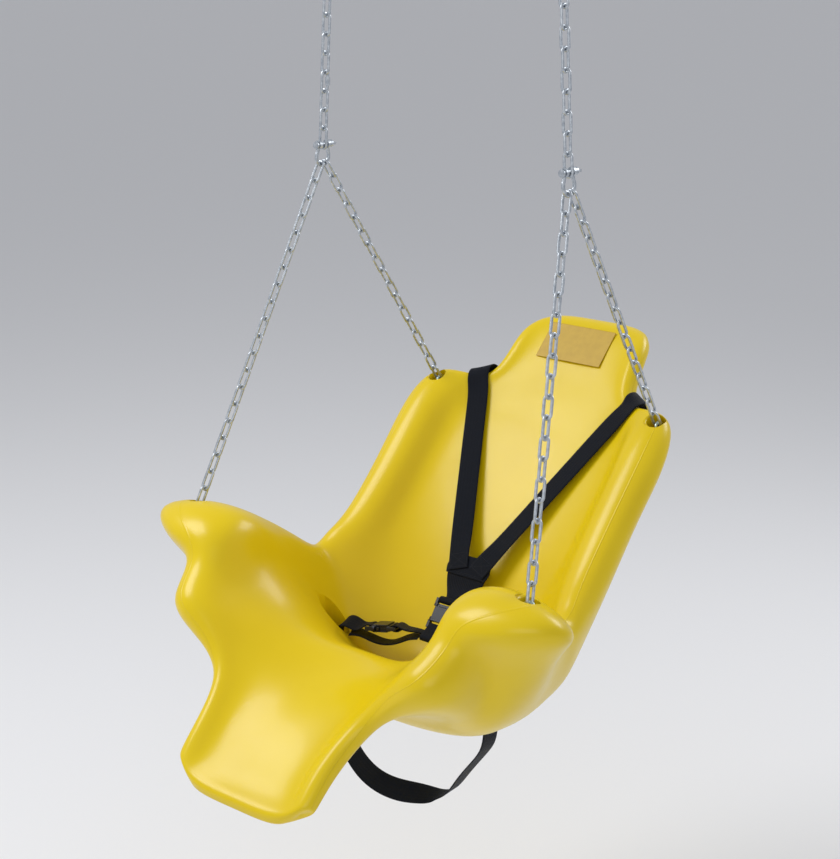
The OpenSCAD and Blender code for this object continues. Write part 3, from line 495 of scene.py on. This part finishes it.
def build_straps():
    for side, middle, wide in (("right", SHOULDER_MIDDLE, SHOULDER_WIDE),
                               ("left", mirrored(SHOULDER_MIDDLE), SHOULDER_WIDE)):
        if side == "left":
            wide = [(w[0], -w[1], -w[2]) for w in wide]
        name = f"shoulder_webbing_{side}"
        strap = band(name, middle, wide)
        finish_piece(strap, "webbing", instead=[f"shoulder_strap_{side}"])
        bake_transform(strap)

    chest = band("chest_webbing", [
        on_yoke(0, 6, -2.4), on_yoke(0, -14, -2.4), (0, 68, -744), (0, 55, -754),
        CHEST.at(-21, -13), CHEST.at(-16.5, -5.5), CHEST.at(-11.5, -4.7), CHEST.at(-7.9, 0),
        CHEST.at(-11.5, 4.7), CHEST.at(-16.8, 3.4), CHEST.at(-19.5, -3)],
        [(2.1, 0, 0), (2.1, 0, 0), (1.8, 0, 0), (1.25, 0, 0)] + [(1, 0, 0)] * 7)
    finish_piece(chest, "webbing", "chest_plug", ["chest_strap"])

    loop = [(31, 0.6), (31.5, 3.4), (35.5, 5.2), (42, 7.5), (52, 12.8), (59, 16), (64, 12),
            (59, 1), (48, -10), (44, -12.5), (40, -10), (37.5, -6), (34, -4.6), (31, -3), (31, -0.6)]
    ring = band("chest_loop_webbing", [CHEST.at(x, z) for x, z in loop], [(1, 0, 0)] * len(loop))
    finish_piece(ring, "webbing", "seat", ["chest_loop"])

    left = band("lap_webbing_left", [
        LAP.at(29.5, -5), LAP.at(30.2, 0), LAP.at(32, 4.2), LAP.at(36.5, 4.9), LAP.at(42, 3.6),
        (-126, -57, -806), (-142, -61, -799), (-157, -69, -807), (-167.5, -72, -830),
        (-170, -72, -856), (-170, -72, -872)],
        [LAP_WIDE] * 5 + [(0.3, -0.95, -0.1), (0.3, -0.92, -0.2), (0.2, -0.97, 0)] + [(0, -1, 0)] * 3)
    finish_piece(left, "webbing", "seat", ["lap_strap_left"])

    right = band("lap_webbing_right", [
        LAP.at(-19, -4.4), LAP.at(-13, -4.8), LAP.at(-8.8, -3.6), LAP.at(-7.6, 0),
        LAP.at(-8.8, 3.6), LAP.at(-13, 4.8), LAP.at(-19, 3.6), (-44, -25, -799),
        (-28, -11, -803), (0, -7, -807), (30, -12, -806), (70, -28, -801), (110, -46, -799),
        (140, -59, -796), (157, -69, -807), (167.5, -72, -830), (170, -72, -856), (170, -72, -872)],
        [LAP_WIDE] * 8 + [(0.15, -0.4, 0), (0, -0.38, 0), (-0.15, -0.55, 0), (-0.3, -0.95, 0),
         (-0.3, -0.95, -0.1), (-0.3, -0.92, -0.2), (-0.2, -0.97, 0)] + [(0, -1, 0)] * 3)
    finish_piece(right, "webbing", instead=["lap_strap_right"])
    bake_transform(right)

    tail = band("lap_webbing_tail", [
        (-137, -64, -814), (-121, -57, -817), (-105, -50, -823), (-89, -43, -828), (-72, -36, -828),
        (-54, -29, -820), (-38, -23, -812), (-24, -18, -809.5)],
        [(0.3, -0.95, -0.1)] + [(0.36, -0.92, 0.15)] * 4 + [(0.3, -0.9, 0), (0.25, -0.8, 0), (0.2, -0.7, 0)])
    finish_piece(tail, "webbing", "seat", ["lap_tail"])

    under = band("under_seat_webbing", [
        (-170, -72, -873), (-170, -72, -892), (-171, -71, -925), (-164, -68, -970),
        (-146, -66, -1030), (-108, -58, -1078), (-60, -46, -1096), (-20, -30, -1098),
        (16, -16, -1096), (50, -20, -1072), (90, -38, -1022), (132, -54, -972), (160, -66, -935),
        (169, -71, -900), (170, -72, -873)],
        [unit(v) for v in [(0, 1, 0), (0, 1, 0), (0, 1, 0), (0, 1, 0.1), (0, 1, 0.2), (0, 0.9, 0.5),
         (0, 0.6, 0.8), (0, 0.75, 0.6), (0.2, 0.95, 0.2), (0, 1, 0.1), (0, 1, 0), (0, 1, 0),
         (0, 1, 0), (0, 1, 0), (0, 1, 0)]])
    finish_piece(under, "webbing", "seat", ["under_strap"])
    build_yoke()


def build_yoke():
    """The sewn patch: a softened flat plate, its outline widening and then narrowing towards its lower edge.
    """
    rows = 10
    points, faces = [], []
    for side in (1, -1):
        for k in range(rows + 1):
            up = 22 - 37 * k / rows
            reach = 40 + 5 * (22 - up) / 24 if up > -2 else 45 - 4 * (-2 - up) / 13
            for s in np.linspace(-1, 1, 13):
                points.append(on_yoke(s * reach, up, side * 1.0))
    n = 13
    block = (rows + 1) * n
    for base, turn in ((0, 1), (block, -1)):
        for k in range(rows):
            for j in range(n - 1):
                a = base + k * n + j
                face = [a, a + n, a + n + 1, a + 1][::turn]
                faces.append(tuple(face))
    edge = [j for j in range(n)] + [k * n + n - 1 for k in range(1, rows + 1)]
    edge += [rows * n + j for j in range(n - 2, -1, -1)] + [k * n for k in range(rows - 1, 0, -1)]
    for a, b in zip(edge, edge[1:] + edge[:1]):
        faces.append((a, b, block + b, block + a))
    made = mesh_object("harness_yoke", seat(points), faces)
    layer = made.data.uv_layers.new(name="UVMap")
    for loop in made.data.loops:
        p = made.data.vertices[loop.vertex_index].co
        layer.data[loop.index].uv = (p.x, p.z)
    make_outward(made)
    shade(made, 50)
    finish_piece(made, "webbing", "chest_plug", ["yoke"])


# ----------------------------------------------------------------- stitches

def stitch_nodes():
    """Short thread capsules along every edge chain of a wire mesh."""
    tree = bpy.data.node_groups.new("stitch_rows", "GeometryNodeTree")
    tree.interface.new_socket("Geometry", in_out="INPUT", socket_type="NodeSocketGeometry")
    for label, value in (("Spacing", 0.0032), ("Thread radius", 0.00035), ("Stitch length", 0.0024)):
        item = tree.interface.new_socket(label, in_out="INPUT", socket_type="NodeSocketFloat")
        item.default_value = value
    tree.interface.new_socket("Thread", in_out="INPUT", socket_type="NodeSocketMaterial")
    tree.interface.new_socket("Geometry", in_out="OUTPUT", socket_type="NodeSocketGeometry")
    n = tree.nodes
    given, out = n.new("NodeGroupInput"), n.new("NodeGroupOutput")
    curve = n.new("GeometryNodeMeshToCurve")
    even = n.new("GeometryNodeResampleCurve")
    even.mode = "LENGTH"
    ball = n.new("GeometryNodeMeshUVSphere")
    ball.inputs["Segments"].default_value = 8
    ball.inputs["Rings"].default_value = 6
    ball.inputs["Radius"].default_value = 1.0
    size = n.new("ShaderNodeCombineXYZ")
    half = n.new("ShaderNodeMath")
    half.operation = "MULTIPLY"
    half.inputs[1].default_value = 0.5
    tangent = n.new("GeometryNodeInputTangent")
    turn = n.new("FunctionNodeAlignRotationToVector")
    turn.axis = "X"
    put = n.new("GeometryNodeInstanceOnPoints")
    real = n.new("GeometryNodeRealizeInstances")
    paint = n.new("GeometryNodeSetMaterial")
    wire = tree.links.new
    wire(given.outputs["Geometry"], curve.inputs["Mesh"])
    wire(curve.outputs["Curve"], even.inputs["Curve"])
    wire(given.outputs["Spacing"], even.inputs["Length"])
    wire(even.outputs["Curve"], put.inputs["Points"])
    wire(ball.outputs["Mesh"], put.inputs["Instance"])
    wire(tangent.outputs["Tangent"], turn.inputs["Vector"])
    wire(turn.outputs["Rotation"], put.inputs["Rotation"])
    wire(given.outputs["Stitch length"], half.inputs[0])
    wire(half.outputs["Value"], size.inputs["X"])
    wire(given.outputs["Thread radius"], size.inputs["Y"])
    wire(given.outputs["Thread radius"], size.inputs["Z"])
    wire(size.outputs["Vector"], put.inputs["Scale"])
    wire(put.outputs["Instances"], real.inputs["Geometry"])
    wire(real.outputs["Geometry"], paint.inputs["Geometry"])
    wire(given.outputs["Thread"], paint.inputs["Material"])
    wire(paint.outputs["Geometry"], out.inputs["Geometry"])
    return tree


def stitches(name, lines, body):
    """Thread along lines of points in the seat's frame."""
    points, edges = [], []
    for line in lines:
        first = len(points)
        points += [tuple(p) for p in line]
        edges += [(first + k, first + k + 1) for k in range(len(line) - 1)]
    mesh = bpy.data.meshes.new(name)
    mesh.from_pydata([tuple(p) for p in seat(points)], edges, [])
    made = bpy.data.objects.new(name, mesh)
    bpy.context.scene.collection.objects.link(made)
    rows = made.modifiers.new("stitches", "NODES")
    rows.node_group = STITCHES
    for item in STITCHES.interface.items_tree:
        if item.name == "Thread":
            rows[item.identifier] = MATERIALS["thread"]
    apply_modifiers(made)
    shade(made, 60)
    finish_piece(made, "thread", body)


def box_x(corner, side_a, side_b, inset=0.12):
    """The lines of a box with a cross in it, from a corner and its two sides."""
    c = np.array(corner, float)
    a, b = np.array(side_a, float), np.array(side_b, float)
    lo, hi = inset, 1 - inset
    p = [c + lo * a + lo * b, c + hi * a + lo * b, c + hi * a + hi * b, c + lo * a + hi * b]
    return [p + [p[0]], [p[0], p[2]], [p[1], p[3]]]


def build_stitches():
    lines = []
    for side in (1, -1):
        low, high = on_yoke(side * 19.3, -4, 3.55), on_yoke(side * 30.2, 24, 3.55)
        along = high - low
        wide = across(np.array([0.93 * side, -0.23, -0.28]), unit(along)) * WEB_W
        lines += box_x(low - wide / 2, wide, along, 0.09)
    for up in (-10, -12.5):
        lines.append([on_yoke(x, up, 1.15) for x in (-39, 0, 39)])
    stitches("yoke_stitches", lines, "chest_plug")


# ---------------------------------------------------------------- materials

def new_material(name):
    made = bpy.data.materials.new(name)
    made.use_nodes = True
    shader = made.node_tree.nodes["Principled BSDF"]
    return made, made.node_tree, shader


def bump(tree, shader, height, strength, distance, normal=None):
    node = tree.nodes.new("ShaderNodeBump")
    node.inputs["Strength"].default_value = strength
    node.inputs["Distance"].default_value = distance
    tree.links.new(height, node.inputs["Height"])
    if normal is not None:
        tree.links.new(normal, node.inputs["Normal"])
    tree.links.new(node.outputs["Normal"], shader.inputs["Normal"])
    return node.outputs["Normal"]


def noise(tree, scale, detail=2.0, source="Object"):
    place = tree.nodes.new("ShaderNodeTexCoord")
    node = tree.nodes.new("ShaderNodeTexNoise")
    node.inputs["Scale"].default_value = scale
    node.inputs["Detail"].default_value = detail
    tree.links.new(place.outputs[source], node.inputs["Vector"])
    return node.outputs["Fac"]


def ramp(tree, source, low, high, places=(0.3, 0.7)):
    node = tree.nodes.new("ShaderNodeValToRGB")
    node.color_ramp.elements[0].position = places[0]
    node.color_ramp.elements[1].position = places[1]
    node.color_ramp.elements[0].color = (*low, 1)
    node.color_ramp.elements[1].color = (*high, 1)
    tree.links.new(source, node.inputs["Fac"])
    return node.outputs["Color"]


def rough(tree, shader, source, low, high):
    node = tree.nodes.new("ShaderNodeMapRange")
    node.inputs["To Min"].default_value = low
    node.inputs["To Max"].default_value = high
    tree.links.new(source, node.inputs["Value"])
    tree.links.new(node.outputs["Result"], shader.inputs["Roughness"])


def yellow_plastic():
    """Glossy rotomoulded polyethylene with a faint ripple and a parting line round the rim."""
    made, tree, shader = new_material("yellow_polyethylene")
    tone = noise(tree, 7.0, 3.0)
    colour = ramp(tree, tone, (0.80, 0.575, 0.001), (0.84, 0.615, 0.002))
    tree.links.new(colour, shader.inputs["Base Color"])
    rough(tree, shader, noise(tree, 60.0, 4.0), 0.26, 0.36)
    shader.inputs["IOR"].default_value = 1.5
    shader.inputs["Coat Weight"].default_value = 0.1
    shader.inputs["Specular IOR Level"].default_value = 0.38
    shader.inputs["Coat Roughness"].default_value = 0.12
    uv = tree.nodes.new("ShaderNodeUVMap")
    split = tree.nodes.new("ShaderNodeSeparateXYZ")
    tree.links.new(uv.outputs["UV"], split.inputs["Vector"])
    fold = tree.nodes.new("ShaderNodeMath")
    fold.operation = "PINGPONG"
    fold.inputs[1].default_value = 0.5
    tree.links.new(split.outputs["X"], fold.inputs[0])
    seam = tree.nodes.new("ShaderNodeMapRange")
    seam.interpolation_type = "SMOOTHSTEP"
    away = tree.nodes.new("ShaderNodeMath")
    away.operation = "SUBTRACT"
    away.inputs[1].default_value = 5.45 / 22
    tree.links.new(fold.outputs["Value"], away.inputs[0])
    distance = tree.nodes.new("ShaderNodeMath")
    distance.operation = "ABSOLUTE"
    tree.links.new(away.outputs["Value"], distance.inputs[0])
    tree.links.new(distance.outputs["Value"], seam.inputs["Value"])
    seam.inputs["From Min"].default_value = 0.0
    seam.inputs["From Max"].default_value = 0.0022
    seam.inputs["To Min"].default_value = 1.0
    seam.inputs["To Max"].default_value = 0.0
    first = bump(tree, shader, noise(tree, 26.0, 2.0), 0.06, 0.004)
    second = bump(tree, shader, noise(tree, 480.0, 3.0), 0.05, 0.0006, first)
    bump(tree, shader, seam.outputs["Result"], 0.55, 0.0009, second)
    return made


def galvanised():
    """Hot-dip zinc: bluish grey, with patches of duller and brighter metal."""
    made, tree, shader = new_material("galvanised_steel")
    patches = noise(tree, 160.0, 3.0)
    colour = ramp(tree, patches, (0.42, 0.46, 0.51), (0.66, 0.70, 0.74))
    tree.links.new(colour, shader.inputs["Base Color"])
    shader.inputs["Metallic"].default_value = 0.85
    rough(tree, shader, noise(tree, 420.0, 2.0), 0.28, 0.5)
    bump(tree, shader, noise(tree, 700.0, 3.0), 0.25, 0.0004)
    return made


def metal(name, low, high, smooth, coarse, scale=300.0):
    made, tree, shader = new_material(name)
    colour = ramp(tree, noise(tree, scale, 3.0), low, high)
    tree.links.new(colour, shader.inputs["Base Color"])
    shader.inputs["Metallic"].default_value = 1.0
    rough(tree, shader, noise(tree, scale * 2, 2.0), smooth, coarse)
    bump(tree, shader, noise(tree, scale * 3, 2.0), 0.12, 0.0003)
    return made


def woven():
    """Nylon webbing: fine lengthwise ribs crossed by a chevron weave."""
    made, tree, shader = new_material("navy_webbing")
    uv = tree.nodes.new("ShaderNodeUVMap")
    split = tree.nodes.new("ShaderNodeSeparateXYZ")
    tree.links.new(uv.outputs["UV"], split.inputs["Vector"])

    def wave(factor, u_share, v_share):
        left = tree.nodes.new("ShaderNodeMath")
        left.operation = "MULTIPLY"
        left.inputs[1].default_value = factor * u_share
        tree.links.new(split.outputs["X"], left.inputs[0])
        both = tree.nodes.new("ShaderNodeMath")
        both.operation = "MULTIPLY_ADD"
        both.inputs[1].default_value = factor * v_share
        tree.links.new(split.outputs["Y"], both.inputs[0])
        tree.links.new(left.outputs["Value"], both.inputs[2])
        node = tree.nodes.new("ShaderNodeMath")
        node.operation = "SINE"
        tree.links.new(both.outputs["Value"], node.inputs[0])
        return node.outputs["Value"]

    def combine(a, b, how):
        node = tree.nodes.new("ShaderNodeMath")
        node.operation = how
        tree.links.new(a, node.inputs[0])
        tree.links.new(b, node.inputs[1])
        return node.outputs["Value"]

    turn = 2 * math.pi
    ribs = wave(turn / 0.0019, 1.0, 0.0)
    picks = wave(turn / 0.0023, 0.8, 1.0)
    counter = wave(turn / 0.0023, -0.8, 1.0)
    weave = combine(combine(picks, counter, "MAXIMUM"), ribs, "ADD")
    tone = ramp(tree, weave, (0.0015, 0.0025, 0.006), (0.005, 0.008, 0.017), (0.1, 0.9))
    tree.links.new(tone, shader.inputs["Base Color"])
    rough(tree, shader, noise(tree, 300.0, 2.0), 0.5, 0.68)
    shader.inputs["Sheen Weight"].default_value = 0.03
    shader.inputs["Specular IOR Level"].default_value = 0.14
    shader.inputs["Sheen Roughness"].default_value = 0.5
    bump(tree, shader, weave, 0.5, 0.00035)
    return made


def plastic(name, low, high, smooth, coarse, grain=900.0):
    made, tree, shader = new_material(name)
    colour = ramp(tree, noise(tree, 90.0, 2.0), low, high)
    tree.links.new(colour, shader.inputs["Base Color"])
    rough(tree, shader, noise(tree, grain, 2.0), smooth, coarse)
    soft = tree.nodes.new("ShaderNodeBevel")
    soft.samples = 6
    soft.inputs["Radius"].default_value = 0.0012
    bump(tree, shader, noise(tree, grain, 3.0), 0.1, 0.0003, soft.outputs["Normal"])
    return made


def make_materials():
    MATERIALS["yellow"] = yellow_plastic()
    MATERIALS["zinc"] = galvanised()
    MATERIALS["eye_zinc"] = metal("passivated_zinc", (0.40, 0.50, 0.44), (0.62, 0.72, 0.66), 0.2, 0.38)
    MATERIALS["bronze"] = metal("sintered_bronze", (0.42, 0.27, 0.10), (0.60, 0.40, 0.17), 0.35, 0.5)
    MATERIALS["webbing"] = woven()
    MATERIALS["moulding"] = plastic("buckle_acetal", (0.004, 0.006, 0.014), (0.007, 0.010, 0.020), 0.28, 0.4)
    MATERIALS["thread"] = plastic("bonded_thread", (0.006, 0.008, 0.015), (0.011, 0.014, 0.024), 0.4, 0.6)
    MATERIALS["label"] = plastic("label_film", (0.56, 0.35, 0.025), (0.61, 0.39, 0.03), 0.38, 0.48)


def dress_cad_nodes():
    """Every CAD node that shows as it is takes the material of its record slot."""
    by_slot = {"zinc": "zinc", "eye_zinc": "eye_zinc", "bronze": "bronze", "label": "label",
               "moulding": "moulding", "webbing": "webbing", "seat_yellow": "yellow"}
    for part in frame["record"]["subparts"]:
        node = frame["nodes"][part["node"]]
        for slot in node.material_slots:
            slot.material = MATERIALS[by_slot[part["material_slot"]]]


# ------------------------------------------------------------ camera, light

CAMERA_AZIMUTH = math.radians(39.7)
CAMERA_ELEVATION = math.radians(16.7)
CAMERA_PLACE = Vector((1.73, -2.13, 0.38))
CAMERA_LENS = 73.5
SENSOR = 36.0


def build_camera():
    a, e = CAMERA_AZIMUTH, CAMERA_ELEVATION
    back = Vector((math.sin(a) * math.cos(e), -math.cos(a) * math.cos(e), math.sin(e)))
    right = Vector((math.cos(a), math.sin(a), 0))
    lens = bpy.data.cameras.new("camera")
    lens.sensor_fit = "AUTO"
    lens.sensor_width = SENSOR
    lens.lens = CAMERA_LENS
    lens.clip_end = 200
    camera = bpy.data.objects.new("camera", lens)
    turn = Matrix((right, back.cross(right), back)).transposed().to_4x4()
    camera.matrix_world = Matrix.Translation(CAMERA_PLACE + SEAT_ZERO) @ turn
    bpy.context.scene.collection.objects.link(camera)
    bpy.context.scene.camera = camera


def area_light(name, place, target, size, power, tint=(1, 1, 1)):
    lamp = bpy.data.lights.new(name, "AREA")
    lamp.shape = "RECTANGLE"
    lamp.size, lamp.size_y = size
    lamp.energy = power
    lamp.color = tint
    made = bpy.data.objects.new(name, lamp)
    place, target = Vector(place), Vector(target)
    aim = (place - target).to_track_quat("Z", "Y").to_matrix().to_4x4()
    made.matrix_world = Matrix.Translation(place) @ aim
    bpy.context.scene.collection.objects.link(made)


def build_stage():
    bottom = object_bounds()[0][2]
    floor_z = bottom - 0.35
    size = 60
    floor = mesh_object("floor", [(-size, -size, floor_z), (size, -size, floor_z),
                                  (size, size, floor_z), (-size, size, floor_z)], [(0, 1, 2, 3)])
    made, tree, shader = new_material("pale_floor")
    shader.inputs["Base Color"].default_value = (0.86, 0.86, 0.87, 1)
    shader.inputs["Roughness"].default_value = 0.9
    floor.data.materials.append(made)
    world = bpy.data.worlds.new("studio")
    world.use_nodes = True
    world.node_tree.nodes["Background"].inputs["Color"].default_value = (0.93, 0.95, 1.0, 1)
    world.node_tree.nodes["Background"].inputs["Strength"].default_value = 0.5
    bpy.context.scene.world = world
    middle = SEAT_ZERO + Vector((0, 0, -0.65))
    area_light("key", middle + Vector((-1.9, -1.5, 2.6)), middle, (1.8, 1.8), 66)
    area_light("rim", middle + Vector((0.9, 2.4, 1.7)), middle, (1.6, 1.0), 26)
    area_light("fill", middle + Vector((1.6, -2.6, 0.8)), middle, (1.6, 1.6), 10)
    bpy.context.scene.view_settings.view_transform = "Standard"


MATERIALS = {}
FRONT_PIN = np.array([246.0, 0, 0])
BOW_AXIS = unit([0.07, 0, -1])
BOW_MIDDLE = FRONT_PIN + 20 * BOW_AXIS


def bow_point(hole):
    """Where a bridle leg hangs on the shackle's bow."""
    u = np.array(hole, float) - BOW_MIDDLE
    p = (u @ BOW_AXIS) * BOW_AXIS + np.array([0, u[1], 0])
    return BOW_MIDDLE + 14.5 * unit(p)


BACK_DIRECTION = unit(np.array(BACK_HOLE, float) - bow_point(BACK_HOLE))

build_camera()
make_materials()
dress_cad_nodes()
STITCHES = stitch_nodes()
build_shell()
build_straps()
build_stitches()
build_stage()
